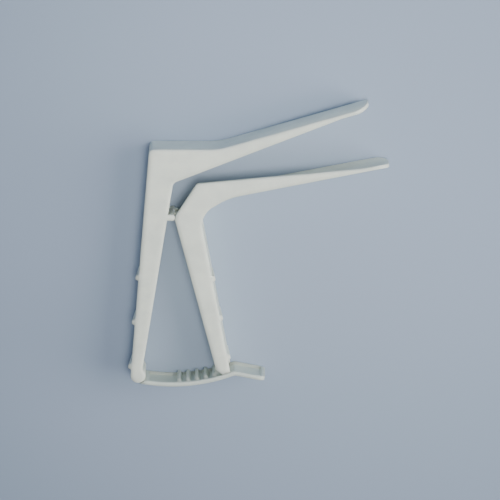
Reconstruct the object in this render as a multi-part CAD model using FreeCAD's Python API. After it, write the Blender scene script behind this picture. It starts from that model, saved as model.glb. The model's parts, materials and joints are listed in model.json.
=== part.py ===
import FreeCAD, Part
import math
import os

from FreeCAD import Vector

# Bivalve speculum with two angled levers on one hinge, held open by a ratchet strap.
# Millimetres and degrees. It lies on its side: +X along the blades, +Y from the handles
# to the blades, +Z up out of the flat side walls. The hinge axis is vertical.

# Shared sections
WIDTH = 20.0
SIDE_WALL = 2.2
PLATE = 2.0
INNER_FLANGE = 1.8
EDGE_ROUND = 0.5
MOVING_GAP = 0.3
RUNNING_FIT = 0.05

# Hinge
BARREL_RADIUS = 1.45
PIN_RADIUS = 0.6
PIN_RECESS = 0.3
BORE_CAP = 1.2
KNUCKLES = 5
NECK_HALF_HEIGHT = 1.3

# Upper valve: level shoulder, rising blade, handle down to the strap pivot
SHOULDER_RISE = 33.4
SHOULDER_BACK = 10.8
SHOULDER_LENGTH = 33.4
SHOULDER_ROUND = 2.4
SHOULDER_BEND = 30.0
UPPER_PITCH = 16.1
UPPER_REACH = 74.4
UPPER_INNER_PITCH = 21.3
UPPER_THROAT_RISE = 17.0
UPPER_THROAT_ROUND = 3.0
UPPER_HANDLE_GAP = 2.15
UPPER_OUTER_LEAN = 4.8
UPPER_INNER_LEAN = 9.3

# Lower valve: straight blade, wide outer curve, handle down to the pawl foot
LOWER_PITCH = 11.25
LOWER_REACH = 93.3
LOWER_SKIN_RISE = 4.1
LOWER_INNER_PITCH = 5.3
LOWER_INNER_RISE = 15.5
LOWER_CORNER_OUT = 12.0
LOWER_CORNER_ROUND = 1.6
LOWER_ARCH_RUN = 15.0
LOWER_ARCH_ROUND = 30.0
LOWER_HEEL_DROP = 5.3
LOWER_HEEL_ROUND = 10.0
LOWER_HANDLE_OUT = 13.7
LOWER_OUTER_LEAN = 10.5
LOWER_HANDLE_GAP = 1.15
LOWER_INNER_LEAN = 14.8

# Blades: crowned across the width, thinner and rounded at the tip
ROOT_CROWN = 0.03
MIDDLE_CROWN = 0.9
MIDDLE_SHARE = 0.4
TIP_CROWN = 1.3
TIP_PLATE = 1.7
TIP_CORNER = 8.0
TIP_CLEARANCE = 0.05

# Finger ribs across the outside of the handles
RIB_COUNT = 3
RIB_HEIGHT = 1.5
RIB_TOP = 1.8
RIB_BASE = 3.2
RIB_FLARE = 0.8
RIB_SINK = 0.05
RIB_FADE = 0.2
UPPER_RIB_START = 29.7
UPPER_RIB_PITCH = 22.0
LOWER_RIB_START = 30.3
LOWER_RIB_PITCH = 19.4

# Ratchet strap: an arc about the hinge, pivoted at the foot of the upper valve
EYE_RADIUS = 3.6
TRUNNION_RADIUS = 1.3
TRUNNION_LENGTH = 2.6
EYE_WIDTH = 9.4
STRAP_RADIUS = 83.6
STRAP_PLATE = 2.0
STRAP_RIM = 2.0
STRAP_RECESS = 1.0
STRAP_SWEEP = 21.4
TAB_LENGTH = 15.2
TAB_DROOP = 11.0
TAB_BEND = 3.0
TAB_CORNER = 3.0

# Ratchet teeth, counted from the handle of the upper valve
TOOTH_COUNT = 5
TOOTH_START = 1.7
TOOTH_PITCH = 3.05
TOOTH_RAMP = 1.8
TOOTH_UNDERCUT = 0.3
TOOTH_LAND = 0.9
TOOTH_ROUND = 0.35
TOOTH_HEIGHT = 1.5
TOOTH_SINK = 0.3
TOOTH_WIDTH = 16.2

# Foot of the lower valve: side cheeks beside the teeth and a pawl lip over them
FOOT_BLOCK = 6.5
CHEEK_GAP = 0.4
PAWL_ANGLE = 17.4
PAWL_LIP = 0.9
PAWL_RAMP_DEPTH = 3.2
PAWL_RAMP_SPAN = 2.0
PAWL_RELIEF = 2.0

# Derived sizes
MID_WIDTH = WIDTH / 2
FLUSH = WIDTH - EDGE_ROUND
STRAP_TOP = STRAP_RADIUS - STRAP_PLATE
TOOTH_TIP = STRAP_TOP - TOOTH_HEIGHT
PAWL_RADIUS = TOOTH_TIP - MOVING_GAP
FOOT_RADIUS = STRAP_TOP - MOVING_GAP
OVERCUT = 5.0

# Telling edges apart: the shortest that counts, and the angle within which two are in line, in degrees
SHORTEST_EDGE = 1e-6
IN_LINE_WITHIN = 2.5


def polar(radius, angle):
    """Point at an angle from straight below the hinge, positive towards +X."""
    turn = math.radians(angle)
    return Vector(radius * math.sin(turn), -radius * math.cos(turn), 0)


def heading(angle):
    """Unit direction at an angle up from +X."""
    turn = math.radians(angle)
    return Vector(math.cos(turn), math.sin(turn), 0)


def meet(point_a, direction_a, point_b, direction_b):
    """Crossing of two lines in the XY plane."""
    gap = point_b - point_a
    across = direction_a.x * direction_b.y - direction_a.y * direction_b.x
    along = (gap.x * direction_b.y - gap.y * direction_b.x) / across
    return point_a + direction_a * along


def rounded_wire(corners):
    """Closed wire through (point, radius) corners, each with a tangent arc."""
    starts = []
    ends = []
    middles = []
    count = len(corners)
    for index, (point, radius) in enumerate(corners):
        back = (corners[index - 1][0] - point).normalize()
        ahead = (corners[(index + 1) % count][0] - point).normalize()
        if radius == 0:
            starts.append(point)
            ends.append(point)
            middles.append(None)
            continue
        half = back.getAngle(ahead) / 2
        reach = radius / math.tan(half)
        bisector = (back + ahead).normalize()
        starts.append(point + back * reach)
        ends.append(point + ahead * reach)
        middles.append(point + bisector * (radius / math.sin(half) - radius))
    edges = []
    for index in range(count):
        if middles[index] is not None:
            edges.append(Part.Arc(starts[index], middles[index], ends[index]).toShape())
        following = starts[(index + 1) % count]
        if (following - ends[index]).Length > SHORTEST_EDGE:
            edges.append(Part.LineSegment(ends[index], following).toShape())
    return Part.Wire(edges)


def prism(corners, bottom, top):
    """Solid from a rounded outline between two heights."""
    face = Part.Face(rounded_wire(corners))
    face.translate(Vector(0, 0, bottom))
    return face.extrude(Vector(0, 0, top - bottom))


def sharp(*points):
    return [(point, 0) for point in points]


def cylinder(centre, radius, bottom, top):
    return Part.makeCylinder(radius, top - bottom, Vector(centre.x, centre.y, bottom))


def sector(inner, outer, start, end, bottom, top):
    """Part of a ring about the hinge axis, between two angles."""
    middle = (start + end) / 2
    edges = [
        Part.Arc(polar(inner, start), polar(inner, middle), polar(inner, end)).toShape(),
        Part.LineSegment(polar(inner, end), polar(outer, end)).toShape(),
        Part.Arc(polar(outer, end), polar(outer, middle), polar(outer, start)).toShape(),
        Part.LineSegment(polar(outer, start), polar(inner, start)).toShape(),
    ]
    face = Part.Face(Part.Wire(edges))
    face.translate(Vector(0, 0, bottom))
    return face.extrude(Vector(0, 0, top - bottom))


def blade_section(origin, outward, crown, thickness):
    """Cross-section of a blade: two arcs across the width, joined by rounded edges."""
    up = Vector(0, 0, 1)
    soft = EDGE_ROUND
    bulge = soft * (1 - math.cos(math.radians(45)))
    inset = outward * -thickness
    crest = origin + up * MID_WIDTH + outward * crown
    skin_low = origin + up * soft
    skin_high = origin + up * (WIDTH - soft)
    edge_high = origin + up * WIDTH
    edge_low = origin
    drop = outward * -soft
    turn_high = edge_high - up * bulge
    turn_low = edge_low + up * bulge
    sag = outward * -bulge
    edges = [
        Part.Arc(skin_low, crest, skin_high).toShape(),
        Part.Arc(skin_high, turn_high + sag, edge_high + drop).toShape(),
        Part.LineSegment(edge_high + drop, edge_high + inset - drop).toShape(),
        Part.Arc(edge_high + inset - drop, turn_high + inset - sag, skin_high + inset).toShape(),
        Part.Arc(skin_high + inset, crest + inset, skin_low + inset).toShape(),
        Part.Arc(skin_low + inset, turn_low + inset - sag, edge_low + inset - drop).toShape(),
        Part.LineSegment(edge_low + inset - drop, edge_low + drop).toShape(),
        Part.Arc(edge_low + drop, turn_low + sag, skin_low).toShape(),
    ]
    return Part.Wire(edges)


def soften(wall, *buried):
    """Round the near edges of a side wall, but for those whose middles are near buried points."""
    near = []
    for edge in wall.Edges:
        middle = edge.CenterOfMass
        flat = Vector(middle.x, middle.y, 0)
        hidden = min((flat - point).Length for point in buried) < EDGE_ROUND
        if edge.BoundBox.ZMin > FLUSH and not hidden:
            near.append(edge)
    return wall.makeFillet(EDGE_ROUND, near)


def blade_plate(root, pitch, side, reach):
    """Crowned blade plate from its root to a rounded tip; side is +1 for an outside above."""
    ahead = heading(pitch)
    outward = heading(pitch + 90) * side
    stations = [
        (0.0, ROOT_CROWN, PLATE),
        (MIDDLE_SHARE, MIDDLE_CROWN, PLATE),
        (1.0, TIP_CROWN, TIP_PLATE),
    ]
    wires = [
        blade_section(root + ahead * (reach * share), outward, crown, thickness)
        for share, crown, thickness in stations
    ]
    plate = Part.makeLoft(wires, True, False)
    across = Vector(0, 0, WIDTH + TIP_CLEARANCE * 2)
    deep = outward * (-PLATE - OVERCUT) - Vector(0, 0, TIP_CLEARANCE)
    high = outward * (TIP_CROWN + OVERCUT) - Vector(0, 0, TIP_CLEARANCE)
    near_root = root + deep
    near_tip = near_root + ahead * reach
    outline = rounded_wire(
        [
            (near_root, 0),
            (near_tip, TIP_CORNER),
            (near_tip + across, TIP_CORNER),
            (near_root + across, 0),
        ]
    )
    return plate.common(Part.Face(outline).extrude(high - deep))


def rib_profile(centre, along, outward, share, level):
    """Flared and rounded section of a finger rib at one height, at a share of its full size."""
    root = outward * -RIB_SINK
    crest = outward * (RIB_HEIGHT * share)
    buried = outward * -PLATE / 2
    flare = RIB_FLARE * share
    base = along * RIB_BASE
    foot = along * (RIB_TOP + (RIB_BASE - RIB_TOP) * share) / 2
    top = along * (RIB_TOP / 2)
    corners = [
        (centre - base + buried, 0),
        (centre - base + root, 0),
        (centre - foot + root, flare),
        (centre - top + crest, flare),
        (centre + top + crest, flare),
        (centre + foot + root, flare),
        (centre + base + root, 0),
        (centre + base + buried, 0),
    ]
    wire = rounded_wire(corners)
    wire.translate(Vector(0, 0, level))
    return wire


def finger_ribs(anchor, along, outward, start, pitch):
    """Ribs across the outside of a handle, full at the near wall and fading to the far side."""
    ribs = []
    for index in range(RIB_COUNT):
        drop = start + pitch * index
        centre = meet(anchor, along, Vector(0, -drop, 0), Vector(1, 0, 0))
        faded = rib_profile(centre, along, outward, RIB_FADE, 0)
        full = rib_profile(centre, along, outward, 1, FLUSH)
        ribs.append(Part.makeLoft([faded, full], True, True))
    return ribs


def knuckle_spans():
    """Heights of the hinge knuckles, the two valves taking turns."""
    length = (WIDTH - MOVING_GAP * (KNUCKLES - 1)) / KNUCKLES
    spans = []
    for index in range(KNUCKLES):
        bottom = index * (length + MOVING_GAP)
        spans.append((bottom, bottom + length))
    return spans


def knuckle(span, side):
    """One hinge knuckle with its neck into the handle on one side of the axis."""
    bottom, top = span
    barrel = cylinder(Vector(0, 0, 0), BARREL_RADIUS, bottom, top)
    handle_gap = UPPER_HANDLE_GAP if side < 0 else LOWER_HANDLE_GAP
    reach = side * (handle_gap + INNER_FLANGE)
    corners = sharp(
        Vector(0, -NECK_HALF_HEIGHT, 0),
        Vector(reach, -NECK_HALF_HEIGHT, 0),
        Vector(reach, NECK_HALF_HEIGHT, 0),
        Vector(0, NECK_HALF_HEIGHT, 0),
    )
    return barrel.fuse(prism(corners, bottom, top))


def fit_hinge(body, own_spans, other_spans, side):
    """Clear the other valve's knuckles, add this valve's own and bore them."""
    for bottom, top in other_spans:
        relief = cylinder(
            Vector(0, 0, 0), BARREL_RADIUS + MOVING_GAP, bottom - MOVING_GAP, top + MOVING_GAP
        )
        body = body.cut(relief)
    body = body.fuse([knuckle(span, side) for span in own_spans])
    bore = cylinder(Vector(0, 0, 0), PIN_RADIUS + RUNNING_FIT, -OVERCUT, WIDTH - BORE_CAP)
    return body.cut(bore)


def upper_lines():
    """Straight edges of the upper valve, as a point and a direction each."""
    corner = Vector(-SHOULDER_BACK, SHOULDER_RISE, 0)
    outer = (corner, heading(-90 - UPPER_OUTER_LEAN))
    inner = (Vector(-UPPER_HANDLE_GAP, 0, 0), heading(-90 - UPPER_INNER_LEAN))
    return corner, outer, inner


def strap_pivot():
    """Centre of the strap pivot: its eye touches the handle's outer edge and the strap's underside."""
    corner, outer, inner = upper_lines()
    start = outer[0] + heading(-UPPER_OUTER_LEAN) * EYE_RADIUS
    along = start.dot(outer[1])
    arc = STRAP_RADIUS - EYE_RADIUS
    return start + outer[1] * (math.sqrt(along**2 - start.dot(start) + arc**2) - along)


def make_upper_valve(spans):
    corner, outer, inner = upper_lines()
    level = Vector(1, 0, 0)
    bend = corner + level * SHOULDER_LENGTH
    pitch = heading(UPPER_PITCH)
    outward = heading(UPPER_PITCH + 90)
    bend_run = SHOULDER_BEND * math.tan(math.radians(UPPER_PITCH / 2))
    blade_root = bend + pitch * bend_run
    inner_bend = meet(bend - Vector(0, PLATE, 0), level, bend - outward * PLATE, pitch)
    throat = meet(inner[0], inner[1], Vector(0, UPPER_THROAT_RISE, 0), level)
    inner_pitch = heading(UPPER_INNER_PITCH)
    wall_top = blade_root - outward * EDGE_ROUND
    wall_tip = meet(throat, inner_pitch, blade_root - outward * (PLATE - EDGE_ROUND), pitch)
    wall_end = meet(wall_tip, outward, wall_top, pitch)
    pivot = strap_pivot()
    foot_level = Vector(0, pivot.y, 0)
    foot_outer = meet(outer[0], outer[1], foot_level, level)
    foot_inner = Vector(pivot.x + EYE_RADIUS / 2, pivot.y, 0)
    hip = meet(inner[0], inner[1], foot_level + Vector(0, FOOT_BLOCK, 0), level)

    side_wall = prism(
        [
            (corner, SHOULDER_ROUND),
            (foot_outer, 0),
            (foot_inner, 0),
            (hip, 0),
            (throat, UPPER_THROAT_ROUND),
            (wall_tip, 0),
            (wall_end, 0),
            (wall_top, 0),
            (blade_root, 0),
            (bend, SHOULDER_BEND),
        ],
        WIDTH - SIDE_WALL,
        WIDTH,
    )
    side_wall = soften(
        side_wall,
        (wall_tip + wall_end) / 2,
        (wall_end + wall_top) / 2,
        (wall_top + blade_root) / 2,
        (foot_outer + foot_inner) / 2,
    )
    inset = PLATE / math.cos(math.radians(UPPER_OUTER_LEAN))
    outer_flange = prism(
        [
            (corner, SHOULDER_ROUND),
            (foot_outer, 0),
            (foot_outer + level * inset, 0),
            (corner + Vector(inset, -PLATE, 0), 0),
            (inner_bend, SHOULDER_BEND + PLATE),
            (blade_root - outward * PLATE, 0),
            (blade_root, 0),
            (bend, SHOULDER_BEND),
        ],
        0,
        FLUSH,
    )
    flange_inset = level * (INNER_FLANGE / math.cos(math.radians(UPPER_INNER_LEAN)))
    flange_top = throat + inner[1] * UPPER_THROAT_ROUND
    inner_flange = prism(
        sharp(flange_top, flange_top - flange_inset, hip - flange_inset, hip),
        0,
        FLUSH,
    )
    foot = prism(
        sharp(
            foot_outer,
            foot_inner,
            hip,
            meet(outer[0], outer[1], Vector(0, hip.y, 0), level),
        ),
        0,
        FLUSH,
    )
    eye = soften(cylinder(pivot, EYE_RADIUS, 0, WIDTH), foot_outer)
    plate = blade_plate(blade_root, UPPER_PITCH, 1, UPPER_REACH - bend_run)
    ribs = finger_ribs(
        outer[0], outer[1], heading(180 - UPPER_OUTER_LEAN), UPPER_RIB_START, UPPER_RIB_PITCH
    )
    body = side_wall.fuse([outer_flange, inner_flange, foot, eye, plate] + ribs)

    slot_bottom = (WIDTH - EYE_WIDTH) / 2 - MOVING_GAP
    slot_top = WIDTH - slot_bottom
    body = body.cut(cylinder(pivot, EYE_RADIUS + MOVING_GAP, slot_bottom, slot_top))
    socket_depth = TRUNNION_LENGTH + MOVING_GAP
    body = body.cut(
        cylinder(
            pivot,
            TRUNNION_RADIUS + RUNNING_FIT,
            slot_bottom - socket_depth,
            slot_top + socket_depth,
        )
    )
    body = fit_hinge(body, spans[0::2], spans[1::2], -1)
    return body.removeSplitter()


def make_lower_valve(spans):
    level = Vector(1, 0, 0)
    pitch = heading(LOWER_PITCH)
    inward = heading(LOWER_PITCH + 90)
    skin = (Vector(0, LOWER_SKIN_RISE, 0), pitch)
    inner_edge = (Vector(0, LOWER_INNER_RISE, 0), heading(LOWER_INNER_PITCH))
    outer = (Vector(LOWER_HANDLE_OUT, 0, 0), heading(-90 + LOWER_OUTER_LEAN))
    inner = (Vector(LOWER_HANDLE_GAP, 0, 0), heading(-90 + LOWER_INNER_LEAN))
    elbow = meet(skin[0], skin[1], outer[0], outer[1])
    corner = meet(inner_edge[0], inner_edge[1], Vector(LOWER_CORNER_OUT, 0, 0), Vector(0, 1, 0))
    apex = Vector(LOWER_HANDLE_GAP, 0, 0)
    wall_tip = meet(inner_edge[0], inner_edge[1], skin[0] + inward * (PLATE - EDGE_ROUND), pitch)
    arch = elbow + pitch * LOWER_ARCH_RUN
    heel = elbow + outer[1] * LOWER_HEEL_DROP
    brace = (arch - heel).normalize()
    run = LOWER_ARCH_RUN + LOWER_ARCH_ROUND * math.tan(brace.getAngle(pitch) / 2)
    blade_root = elbow + pitch * run
    wall_top = blade_root + inward * EDGE_ROUND
    wall_end = meet(wall_tip, inward, wall_top, pitch)
    below = Vector(0, -STRAP_RADIUS, 0)
    foot_outer = meet(outer[0], outer[1], below, level)
    foot_inner = meet(inner[0], inner[1], below, level)

    side_wall = prism(
        [
            (corner, LOWER_CORNER_ROUND),
            (apex, 0),
            (foot_inner, 0),
            (foot_outer, 0),
            (heel, LOWER_HEEL_ROUND),
            (arch, LOWER_ARCH_ROUND),
            (blade_root, 0),
            (wall_top, 0),
            (wall_end, 0),
            (wall_tip, 0),
        ],
        WIDTH - SIDE_WALL,
        WIDTH,
    )
    side_wall = soften(
        side_wall,
        (wall_tip + wall_end) / 2,
        (wall_end + wall_top) / 2,
        (wall_top + blade_root) / 2,
    )
    inset = PLATE / math.cos(math.radians(LOWER_OUTER_LEAN))
    brace_inside = heel + Vector(-brace.y, brace.x, 0) * PLATE
    inner_arch = meet(skin[0] + inward * PLATE, pitch, brace_inside, brace)
    inner_heel = meet(brace_inside, brace, outer[0] - level * inset, outer[1])
    outer_flange = prism(
        [
            (foot_outer, 0),
            (heel, LOWER_HEEL_ROUND),
            (arch, LOWER_ARCH_ROUND),
            (blade_root, 0),
            (blade_root + inward * PLATE, 0),
            (inner_arch, LOWER_ARCH_ROUND + PLATE),
            (inner_heel, LOWER_HEEL_ROUND + PLATE),
            (foot_outer - level * inset, 0),
        ],
        0,
        FLUSH,
    )
    flange_inset = level * (INNER_FLANGE / math.cos(math.radians(LOWER_INNER_LEAN)))
    inner_flange = prism(
        sharp(apex, foot_inner, foot_inner + flange_inset, apex + flange_inset),
        0,
        FLUSH,
    )
    block_level = Vector(0, -FOOT_RADIUS + FOOT_BLOCK, 0)
    foot = prism(
        sharp(
            foot_inner,
            foot_outer,
            meet(outer[0], outer[1], block_level, level),
            meet(inner[0], inner[1], block_level, level),
        ),
        0,
        FLUSH,
    )
    plate = blade_plate(blade_root, LOWER_PITCH, -1, LOWER_REACH - run)
    ribs = finger_ribs(
        outer[0], outer[1], heading(LOWER_OUTER_LEAN), LOWER_RIB_START, LOWER_RIB_PITCH
    )
    body = side_wall.fuse([outer_flange, inner_flange, foot, plate] + ribs)
    body = shape_foot(body)
    body = fit_hinge(body, spans[1::2], spans[0::2], 1)
    return body.removeSplitter()


def shape_foot(body):
    """Trim the foot to its arc, ramp its leading corner and hollow it over the teeth."""
    far = STRAP_RADIUS + OVERCUT
    swing = STRAP_SWEEP + OVERCUT
    body = body.cut(sector(FOOT_RADIUS, far + OVERCUT, 0, swing, -OVERCUT, WIDTH + OVERCUT))
    lip = polar(FOOT_RADIUS, PAWL_ANGLE)
    ramp_start = polar(FOOT_RADIUS - PAWL_RAMP_DEPTH, PAWL_ANGLE - PAWL_RAMP_SPAN)
    body = body.cut(
        prism(
            sharp(lip, ramp_start, polar(far, PAWL_ANGLE - PAWL_RAMP_SPAN), polar(far, PAWL_ANGLE)),
            -OVERCUT,
            WIDTH + OVERCUT,
        )
    )
    row_bottom = MID_WIDTH - TOOTH_WIDTH / 2 - CHEEK_GAP
    row_top = MID_WIDTH + TOOTH_WIDTH / 2 + CHEEK_GAP
    body = body.cut(sector(PAWL_RADIUS, far, 0, swing, row_bottom, row_top))
    lip_end = PAWL_ANGLE + math.degrees(PAWL_LIP / PAWL_RADIUS)
    return body.cut(sector(PAWL_RADIUS - PAWL_RELIEF, far, lip_end, swing, row_bottom, row_top))


def strap_slab(top, bottom, start, tab_length, low, high):
    """Strap layer between two radii: an arc about the hinge, then the straight tab."""
    droop = heading(-TAB_DROOP)
    across = heading(-TAB_DROOP - 90)
    bend = polar(STRAP_TOP, STRAP_SWEEP)
    upper = bend + across * (top - STRAP_TOP)
    lower = bend + across * (bottom - STRAP_TOP)
    tab = prism(
        sharp(upper, upper + droop * tab_length, lower + droop * tab_length, lower), low, high
    )
    return sector(top, bottom, start, STRAP_SWEEP, low, high).fuse(tab)


def edges_near(shape, point, reach, along):
    """Edges close to a point in plan that run along a direction."""
    found = []
    for edge in shape.Edges:
        middle = edge.CenterOfMass
        flat = Vector(middle.x, middle.y, 0)
        ends = edge.Vertexes[-1].Point - edge.Vertexes[0].Point
        if ends.Length > 0 and (flat - point).Length < reach:
            if abs(ends.normalize().dot(along)) > math.cos(math.radians(IN_LINE_WITHIN)):
                found.append(edge)
    return found


def make_tooth(crest):
    """One saw tooth across the strap: steep towards the pivot, a ramp away from it."""
    root = STRAP_TOP + STRAP_RECESS + TOOTH_SINK
    corners = [
        (polar(root, crest - TOOTH_UNDERCUT), 0),
        (polar(TOOTH_TIP, crest), TOOTH_ROUND),
        (polar(TOOTH_TIP, crest + TOOTH_LAND), TOOTH_ROUND),
        (polar(root, crest + TOOTH_RAMP), 0),
    ]
    half = TOOTH_WIDTH / 2
    return prism(corners, MID_WIDTH - half, MID_WIDTH + half)


def make_ratchet_strap():
    pivot = strap_pivot()
    start = math.degrees(math.atan2(pivot.x, -pivot.y))
    up = Vector(0, 0, 1)
    across = heading(-TAB_DROOP - 90)
    bend = polar(STRAP_TOP, STRAP_SWEEP)
    strap = strap_slab(STRAP_TOP, STRAP_RADIUS, start, TAB_LENGTH, 0, WIDTH)
    tip = bend + heading(-TAB_DROOP) * TAB_LENGTH + across * (STRAP_PLATE / 2)
    strap = strap.makeFillet(TAB_CORNER, edges_near(strap, tip, STRAP_PLATE / 2, across))
    strap = strap.makeFillet(TAB_BEND, edges_near(strap, bend, STRAP_PLATE * 2, up))
    recess_start = start + math.degrees((EYE_RADIUS + STRAP_RIM) / STRAP_TOP)
    strap = strap.cut(
        strap_slab(
            STRAP_TOP - STRAP_RECESS * 2,
            STRAP_TOP + STRAP_RECESS,
            recess_start,
            TAB_LENGTH - STRAP_RIM,
            STRAP_RIM,
            WIDTH - STRAP_RIM,
        )
    )
    teeth = [make_tooth(TOOTH_START + TOOTH_PITCH * index) for index in range(TOOTH_COUNT)]
    strap = strap.fuse(teeth)

    eye_bottom = (WIDTH - EYE_WIDTH) / 2
    eye_top = WIDTH - eye_bottom
    cheek_reach = EYE_RADIUS + MOVING_GAP
    strap = strap.cut(cylinder(pivot, cheek_reach, -OVERCUT, eye_bottom))
    strap = strap.cut(cylinder(pivot, cheek_reach, eye_top, WIDTH + OVERCUT))
    eye = cylinder(pivot, EYE_RADIUS, eye_bottom, eye_top)
    trunnion = cylinder(
        pivot, TRUNNION_RADIUS, eye_bottom - TRUNNION_LENGTH, eye_top + TRUNNION_LENGTH
    )
    return strap.fuse([eye, trunnion]).removeSplitter()


def make_hinge_pin():
    return cylinder(Vector(0, 0, 0), PIN_RADIUS, PIN_RECESS, WIDTH - BORE_CAP - PIN_RECESS)


def main():
    spans = knuckle_spans()
    pieces = {
        "upper_valve": make_upper_valve(spans),
        "lower_valve": make_lower_valve(spans),
        "hinge_pin": make_hinge_pin(),
        "ratchet_strap": make_ratchet_strap(),
    }
    bounds = Part.makeCompound(list(pieces.values())).BoundBox
    shift = Vector(-bounds.Center.x, -bounds.Center.y, -bounds.ZMin)
    os.makedirs("parts", exist_ok=True)
    for name, shape in pieces.items():
        shape.translate(shift)
        solids = len(shape.Solids)
        print(name, "solids", solids, "valid", shape.isValid(), "volume", round(shape.Volume, 1))
        shape.exportStep("parts/" + name + ".step")
    pivot = strap_pivot() + shift
    print("size", round(bounds.XLength, 3), round(bounds.YLength, 3), round(bounds.ZLength, 3))
    print("hinge axis", round(shift.x, 4), round(shift.y, 4))
    print("strap pivot", round(pivot.x, 4), round(pivot.y, 4))


main()
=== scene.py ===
import json
import math

import bmesh
import bpy
from bpy.props import FloatProperty, FloatVectorProperty, PointerProperty
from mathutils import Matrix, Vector


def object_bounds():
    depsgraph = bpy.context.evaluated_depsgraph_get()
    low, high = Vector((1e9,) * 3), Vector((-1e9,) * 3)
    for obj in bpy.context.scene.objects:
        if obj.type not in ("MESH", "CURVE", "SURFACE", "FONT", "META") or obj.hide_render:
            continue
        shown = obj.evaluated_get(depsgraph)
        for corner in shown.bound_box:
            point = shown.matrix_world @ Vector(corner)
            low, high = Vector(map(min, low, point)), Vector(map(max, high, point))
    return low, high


bl_info = {
    "name": "Moulded bivalve speculum",
    "version": (1, 0, 0),
    "blender": (4, 5, 0),
    "location": "View3D > Sidebar > Speculum",
    "description": "Satin plastic finishes, floor, lights and camera for a hinged two-blade speculum",
    "category": "Object",
}

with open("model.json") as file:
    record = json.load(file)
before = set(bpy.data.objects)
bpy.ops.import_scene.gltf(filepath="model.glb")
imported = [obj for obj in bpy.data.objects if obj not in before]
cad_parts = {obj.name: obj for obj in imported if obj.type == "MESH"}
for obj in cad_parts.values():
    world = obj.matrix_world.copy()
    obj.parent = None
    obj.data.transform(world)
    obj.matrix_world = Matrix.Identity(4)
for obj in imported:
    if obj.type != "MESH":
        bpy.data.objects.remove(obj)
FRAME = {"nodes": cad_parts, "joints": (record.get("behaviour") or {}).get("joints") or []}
CAD_LOW, CAD_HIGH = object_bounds()
HINGE = Vector(next(joint["pos_m"] for joint in FRAME["joints"] if joint["name"] == "valve_hinge"))
WIDTH = CAD_HIGH.z - CAD_LOW.z

# Painted shade: the strap's plastic gets a darker, cooler tone than the valves' to stand in for the
# shade that falls on it
UNSHADED_TONE = (1.0, 1.0, 1.0)
STRAP_PAINTED_SHADE = (0.85, 0.88, 0.90)

# Noise in the plastic: clouds per metre, and flow lines that are longer along X than across it
CLOUD_REPEATS = 110.0
FLOW_REPEATS = 1.6
FLOW_STRETCH = (14.0, 60.0, 60.0)
NOISE_MIDDLE = 0.5

# Shares of the noise and of the painted edge highlight in the colour
CLOUD_CONTRAST = 2.6
FLOW_CONTRAST = 1.6
CLOUD_LEVEL = 0.42
CLOUD_SHARE = 0.75
EDGE_HIGHLIGHT_SHARE = 0.6
EDGE_GAIN = 5.0

# A face counts as a flat side wall where the square of its normal's height passes this value
SIDE_WALL_FROM = 0.6
SIDE_WALL_GAIN = 5.0

# Changes of the roughness, and the height of the grain in metres
GRAIN_ROUGHNESS = 0.16
FLOW_ROUGHNESS = 0.12
EDGE_GLOSS = 0.08
RELIEF_HEIGHT = 0.00004
RELIEF_STRENGTH = 0.35
FLOW_RELIEF = 2.0

# Floor: its reach from the middle and its gap under the instrument, in metres, and its mottling
FLOOR_REACH = 4.0
FLOOR_DROP = 0.0002
FLOOR_SQUARES = 8
MOTTLE_REPEATS = 9.0
MOTTLE_SHADE = 0.97

# Studio light: its colours, and the air's strength
WARM_WHITE = (1.0, 0.99, 0.96)
SIDE_WHITE = (1.0, 0.99, 0.95)
RIM_WHITE = (1.0, 1.0, 0.97)
COOL_BLUE = (0.34, 0.62, 1.0)
AIR_COLOUR = (0.66, 0.79, 1.0, 1.0)
AIR_STRENGTH = 0.30
MIDDLE = Vector((0.0, 0.0, WIDTH))
BLADES = Vector((0.01, 0.07, WIDTH))

# Middle of the picture, from the hinge, as shares of the picture's width
PICTURE_RIGHT_OF_HINGE = 0.156
PICTURE_BELOW_HINGE = 0.0659

# Distances from the camera between which it sees, in metres
NEAREST_SEEN = 0.05
FARTHEST_SEEN = 20.0

# Sockets of a Mix node for each kind of value: the first, the second and the result
MIX_SOCKETS = {"VECTOR": (4, 5, 1), "RGBA": (6, 7, 2)}


class Value:
    """A shader value that adds a Math node for each operator used on it."""

    def __init__(self, finish, socket):
        self.finish = finish
        self.socket = socket

    def math(self, operation, first, second):
        return self.finish.add("ShaderNodeMath", {"operation": operation}, {0: first, 1: second})

    def __add__(self, other):
        return self.math("ADD", self, other)

    def __radd__(self, other):
        return self.math("ADD", other, self)

    def __sub__(self, other):
        return self.math("SUBTRACT", self, other)

    def __rsub__(self, other):
        return self.math("SUBTRACT", other, self)

    def __mul__(self, other):
        return self.math("MULTIPLY", self, other)

    def __rmul__(self, other):
        return self.math("MULTIPLY", other, self)

    def clamped(self):
        return self.finish.add(
            "ShaderNodeMath", {"operation": "ADD", "use_clamp": True}, {0: self, 1: 0.0}
        )


class Finish:
    """One procedural material, built from named nodes around a Principled shader."""

    def __init__(self, name):
        self.material = bpy.data.materials.new(name)
        self.material.use_nodes = True
        self.tree = self.material.node_tree
        self.tree.nodes.clear()

    def add(self, kind, settings, inputs, output=0):
        """Add a node, set it, fill or link its sockets and return one of its outputs."""
        node = self.tree.nodes.new(kind)
        for key, value in settings.items():
            setattr(node, key, value)
        for key, value in inputs.items():
            if isinstance(value, Value):
                self.tree.links.new(value.socket, node.inputs[key])
            else:
                node.inputs[key].default_value = value
        result = node.outputs[output] if node.outputs else None
        return Value(self, result)

    def mix(self, kind, share, first, second):
        """Value between two vectors or colours, by a value or a number."""
        first_socket, second_socket, result = MIX_SOCKETS[kind]
        inputs = {0: share, first_socket: first, second_socket: second}
        return self.add("ShaderNodeMix", {"data_type": kind}, inputs, result)

    def blend(self, share, first, second):
        return self.mix("RGBA", share, opaque(first), opaque(second))

    def surface(self, inputs):
        shader = self.add("ShaderNodeBsdfPrincipled", {}, inputs)
        self.add("ShaderNodeOutputMaterial", {}, {"Surface": shader})
        return self.material


def opaque(colour):
    """A colour with full alpha, or a shader value as it is."""
    if isinstance(colour, Value):
        return colour
    return (*colour[:3], 1.0)


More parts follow.
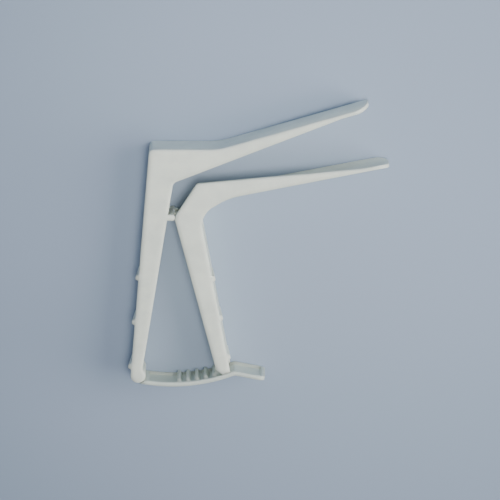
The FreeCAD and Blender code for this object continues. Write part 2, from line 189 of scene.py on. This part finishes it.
class PlasticFinish(bpy.types.PropertyGroup):
    body: FloatVectorProperty(
        name="Plastic",
        description="Colour of the moulded plastic",
        subtype="COLOR",
        min=0.0,
        max=1.0,
        default=(0.79, 0.825, 0.715),
    )
    deep: FloatVectorProperty(
        name="Thick plastic",
        description="Slightly greyer colour where the plastic is thick and cloudy",
        subtype="COLOR",
        min=0.0,
        max=1.0,
        default=(0.66, 0.695, 0.62),
    )
    # Painted highlight: paler colour painted along the edges and rounded side walls, standing in for
    # light that comes through the thin plastic and catches the rims
    edge: FloatVectorProperty(
        name="Edges",
        description="Paler colour where light comes through the thin edges",
        subtype="COLOR",
        min=0.0,
        max=1.0,
        default=(0.91, 0.93, 0.83),
    )
    roughness: FloatProperty(
        name="Satin",
        description="Roughness of the moulded surface",
        subtype="FACTOR",
        min=0.0,
        max=1.0,
        default=0.42,
    )
    grain: FloatProperty(
        name="Grain size",
        description="Size of the fine grain that the mould leaves",
        unit="LENGTH",
        min=0.0001,
        max=0.002,
        default=0.00042,
    )
    edge_round: FloatProperty(
        name="Edge softness",
        description="Radius over which an edge catches the light",
        unit="LENGTH",
        min=0.0,
        max=0.004,
        default=0.0012,
    )
    face_round: FloatProperty(
        name="Face softness",
        description="Distance over which a flat side wall rounds off towards its edges",
        unit="LENGTH",
        min=0.0,
        max=0.006,
        default=0.0035,
    )


class StudioLook(bpy.types.PropertyGroup):
    floor: FloatVectorProperty(
        name="Floor",
        description="Colour of the plain floor",
        subtype="COLOR",
        min=0.0,
        max=1.0,
        default=(0.33, 0.40, 0.51),
    )
    key: FloatProperty(
        name="Key light",
        description="Power of the soft light over the instrument",
        unit="POWER",
        min=0.0,
        default=0.43,
    )
    side: FloatProperty(
        name="Side light",
        description="Power of the large soft light beside the blade tips",
        unit="POWER",
        min=0.0,
        default=8.0,
    )
    rim: FloatProperty(
        name="Rim light",
        description="Power of the narrow light that brightens the right-hand edges",
        unit="POWER",
        min=0.0,
        default=2.0,
    )
    fill: FloatProperty(
        name="Cool light",
        description="Power of the cool light that falls on the backs of the blades",
        unit="POWER",
        min=0.0,
        default=1.0,
    )
    camera_distance: FloatProperty(
        name="Camera distance",
        description="Distance from the camera to the instrument",
        unit="LENGTH",
        min=0.3,
        default=3.0,
    )
    camera_tilt: FloatProperty(
        name="Camera tilt",
        description="Angle of the view off the flat side walls, towards the blades' outside",
        subtype="ANGLE",
        default=math.radians(13.5),
    )
    frame_width: FloatProperty(
        name="Frame width",
        description="Width that the picture takes in at the instrument's near side",
        unit="LENGTH",
        min=0.05,
        default=0.240,
    )


def toned(colour, shade_tone):
    """Colour of the plastic times a tone: unshaded for the valves, a painted shade for the strap."""
    return [channel * share for channel, share in zip(colour, shade_tone)]


def moulded_plastic(name, look, shade_tone=UNSHADED_TONE):
    """Satin, slightly translucent moulded plastic with grain, flow clouds and a painted highlight
    along the edges.
    """
    finish = Finish(name)
    place = finish.add("ShaderNodeTexCoord", {}, {}, "Object")
    along = finish.add(
        "ShaderNodeMapping", {"vector_type": "POINT"}, {"Vector": place, "Scale": FLOW_STRETCH}
    )
    grain = finish.add(
        "ShaderNodeTexNoise", {}, {"Vector": place, "Scale": 1 / look.grain, "Detail": 2.0}
    )
    cloud = finish.add(
        "ShaderNodeTexNoise",
        {},
        {"Vector": place, "Scale": CLOUD_REPEATS, "Detail": 3.0, "Roughness": 0.6},
    )
    flow = finish.add(
        "ShaderNodeTexNoise",
        {},
        {"Vector": along, "Scale": FLOW_REPEATS, "Detail": 4.0, "Distortion": 0.6},
    )
    flat_normal = finish.add("ShaderNodeNewGeometry", {}, {}, "Normal")
    height = finish.add("ShaderNodeSeparateXYZ", {}, {"Vector": flat_normal}, "Z")
    side_wall = ((height * height - SIDE_WALL_FROM) * SIDE_WALL_GAIN).clamped()
    tight_normal = finish.add("ShaderNodeBevel", {"samples": 6}, {"Radius": look.edge_round})
    wide_normal = finish.add("ShaderNodeBevel", {"samples": 8}, {"Radius": look.face_round})
    mixed_normal = finish.mix("VECTOR", side_wall, tight_normal, wide_normal)
    soft_normal = finish.add("ShaderNodeVectorMath", {"operation": "NORMALIZE"}, {0: mixed_normal})
    facing = finish.add(
        "ShaderNodeVectorMath", {"operation": "DOT_PRODUCT"}, {0: soft_normal, 1: flat_normal}, 1
    )
    # Mask of the edges and rounded side walls, where the softened normal turns off the flat one; it
    # carries the painted highlight and a little gloss
    edge = ((1 - facing) * EDGE_GAIN).clamped()
    cloud_part = (cloud - NOISE_MIDDLE) * CLOUD_CONTRAST
    flow_part = (flow - NOISE_MIDDLE) * FLOW_CONTRAST
    cloudy = (cloud_part + flow_part + CLOUD_LEVEL).clamped()
    # The shade tone darkens and cools the strap's colours as painted shade
    colour = finish.blend(cloudy * CLOUD_SHARE, toned(look.body, shade_tone), toned(look.deep, shade_tone))
    # Painted highlight: the edges are made paler in the colour
    colour = finish.blend(edge * EDGE_HIGHLIGHT_SHARE, colour, toned(look.edge, shade_tone))
    grain_part = (grain - NOISE_MIDDLE) * GRAIN_ROUGHNESS
    smear_part = (flow - NOISE_MIDDLE) * FLOW_ROUGHNESS
    rough = look.roughness + grain_part + smear_part - edge * EDGE_GLOSS
    relief = finish.add(
        "ShaderNodeBump",
        {},
        {
            "Strength": RELIEF_STRENGTH,
            "Distance": RELIEF_HEIGHT,
            "Height": grain + flow * FLOW_RELIEF,
            "Normal": soft_normal,
        },
    )
    return finish.surface(
        {
            "Base Color": colour,
            "Roughness": rough,
            "Normal": relief,
            "IOR": 1.49,
            "Subsurface Weight": 0.22,
            "Subsurface Radius": (1.0, 0.95, 0.85),
            "Subsurface Scale": 0.0012,
            "Coat Weight": 0.06,
            "Coat Roughness": 0.3,
        }
    )


def plain_floor(name, colour):
    """Matt floor with a barely visible mottling."""
    finish = Finish(name)
    place = finish.add("ShaderNodeTexCoord", {}, {}, "Object")
    cloud = finish.add(
        "ShaderNodeTexNoise", {}, {"Vector": place, "Scale": MOTTLE_REPEATS, "Detail": 2.0}
    )
    darker = [channel * MOTTLE_SHADE for channel in colour]
    shade = finish.blend(cloud, colour, darker)
    return finish.surface({"Base Color": shade, "Roughness": 0.85})


def give_material(node_names, material):
    """Put one material on CAD nodes."""
    for node_name in node_names:
        node = FRAME["nodes"].get(node_name)
        if node is None:
            raise RuntimeError("The frame has no node named " + node_name)
        node.data.materials.clear()
        node.data.materials.append(material)


class SPECULUM_OT_valves(bpy.types.Operator):
    """Finish both valves in satin plastic"""

    bl_idname = "speculum.valves"
    bl_label = "Valves"

    def execute(self, context):
        look = context.scene.speculum_valves
        give_material(["upper_valve", "lower_valve"], moulded_plastic("valve_plastic", look))
        return {"FINISHED"}


class SPECULUM_OT_hinge_pin(bpy.types.Operator):
    """Finish the hinge pin in satin plastic"""

    bl_idname = "speculum.hinge_pin"
    bl_label = "Hinge pin"

    def execute(self, context):
        look = context.scene.speculum_pin
        give_material(["hinge_pin"], moulded_plastic("pin_plastic", look))
        return {"FINISHED"}


class SPECULUM_OT_strap(bpy.types.Operator):
    """Finish the ratchet strap in satin plastic darkened by a painted shade"""

    bl_idname = "speculum.strap"
    bl_label = "Ratchet strap"

    def execute(self, context):
        look = context.scene.speculum_strap
        # The strap's colours are darkened and cooled as painted shade
        give_material(["ratchet_strap"], moulded_plastic("strap_plastic", look, STRAP_PAINTED_SHADE))
        return {"FINISHED"}


def area_light(name, place, target, size, power, colour, spread=180.0):
    """Add a rectangular light that faces a target, its beam's spread in degrees."""
    data = bpy.data.lights.new(name, "AREA")
    data.spread = math.radians(spread)
    data.shape = "RECTANGLE"
    data.size, data.size_y = size
    data.energy = power
    data.color = colour
    lamp = bpy.data.objects.new(name, data)
    lamp.location = place
    lamp.rotation_mode = "QUATERNION"
    lamp.rotation_quaternion = (lamp.location - target).to_track_quat("Z", "Y")
    bpy.context.scene.collection.objects.link(lamp)


class SPECULUM_OT_stage(bpy.types.Operator):
    """Make the floor, the soft lights and the camera"""

    bl_idname = "speculum.stage"
    bl_label = "Stage"

    def execute(self, context):
        look = context.scene.speculum_studio
        self.make_floor(look)
        self.make_lights(look)
        self.make_camera(look)
        return {"FINISHED"}

    def make_floor(self, look):
        mesh = bpy.data.meshes.new("floor")
        form = bmesh.new()
        bmesh.ops.create_grid(
            form, x_segments=FLOOR_SQUARES, y_segments=FLOOR_SQUARES, size=FLOOR_REACH
        )
        form.to_mesh(mesh)
        form.free()
        floor = bpy.data.objects.new("floor", mesh)
        floor.location.z = -FLOOR_DROP
        mesh.materials.append(plain_floor("floor_paint", look.floor))
        bpy.context.scene.collection.objects.link(floor)

    def make_lights(self, look):
        area_light(
            "key_light",
            place=(0.10, 0.14, 1.15),
            target=BLADES,
            size=(0.4, 0.4),
            power=look.key,
            colour=WARM_WHITE,
            spread=27.0,
        )
        area_light(
            "side_light",
            place=(0.77, 0.06, 0.62),
            target=MIDDLE,
            size=(0.8, 0.8),
            power=look.side,
            colour=SIDE_WHITE,
        )
        area_light(
            "rim_light",
            place=(0.75, -0.10, 0.22),
            target=MIDDLE,
            size=(0.5, 0.12),
            power=look.rim,
            colour=RIM_WHITE,
        )
        area_light(
            "fill_light",
            place=(0.0, 0.80, 0.14),
            target=MIDDLE,
            size=(0.7, 0.16),
            power=look.fill,
            colour=COOL_BLUE,
        )
        world = bpy.data.worlds.new("studio_air")
        world.use_nodes = True
        background = world.node_tree.nodes["Background"]
        background.inputs["Color"].default_value = AIR_COLOUR
        background.inputs["Strength"].default_value = AIR_STRENGTH
        bpy.context.scene.world = world

    def make_camera(self, look):
        back = Vector((0.0, math.sin(look.camera_tilt), math.cos(look.camera_tilt)))
        right = look.frame_width * PICTURE_RIGHT_OF_HINGE
        below = look.frame_width * PICTURE_BELOW_HINGE
        centre = Vector((HINGE.x + right, HINGE.y - below, WIDTH))
        data = bpy.data.cameras.new("photo_camera")
        data.lens = data.sensor_width * look.camera_distance / look.frame_width
        data.clip_start = NEAREST_SEEN
        data.clip_end = FARTHEST_SEEN
        camera = bpy.data.objects.new("photo_camera", data)
        camera.location = centre + back * look.camera_distance
        camera.rotation_mode = "QUATERNION"
        camera.rotation_quaternion = Vector((0, 0, 1)).rotation_difference(back)
        bpy.context.scene.collection.objects.link(camera)
        bpy.context.scene.camera = camera


class SPECULUM_PT_panel(bpy.types.Panel):
    """Finishes and stage of the speculum"""

    bl_label = "Speculum"
    bl_space_type = "VIEW_3D"
    bl_region_type = "UI"
    bl_category = "Speculum"

    def draw(self, context):
        scene = context.scene
        for group, operator in PARTS_OF_PANEL:
            box = self.layout.box()
            box.operator(operator)
            settings = getattr(scene, group)
            for key in settings.__annotations__:
                box.prop(settings, key)


PARTS_OF_PANEL = [
    ("speculum_valves", "speculum.valves"),
    ("speculum_pin", "speculum.hinge_pin"),
    ("speculum_strap", "speculum.strap"),
    ("speculum_studio", "speculum.stage"),
]
CLASSES = [
    PlasticFinish,
    StudioLook,
    SPECULUM_OT_valves,
    SPECULUM_OT_hinge_pin,
    SPECULUM_OT_strap,
    SPECULUM_OT_stage,
    SPECULUM_PT_panel,
]


def register():
    for cls in CLASSES:
        bpy.utils.register_class(cls)
    bpy.types.Scene.speculum_valves = PointerProperty(type=PlasticFinish)
    bpy.types.Scene.speculum_pin = PointerProperty(type=PlasticFinish)
    bpy.types.Scene.speculum_strap = PointerProperty(type=PlasticFinish)
    bpy.types.Scene.speculum_studio = PointerProperty(type=StudioLook)


def unregister():
    del bpy.types.Scene.speculum_studio
    del bpy.types.Scene.speculum_strap
    del bpy.types.Scene.speculum_pin
    del bpy.types.Scene.speculum_valves
    for cls in reversed(CLASSES):
        bpy.utils.unregister_class(cls)


def main():
    register()
    bpy.ops.speculum.valves()
    bpy.ops.speculum.hinge_pin()
    bpy.ops.speculum.strap()
    bpy.ops.speculum.stage()


if __name__ == "__main__":
    main()
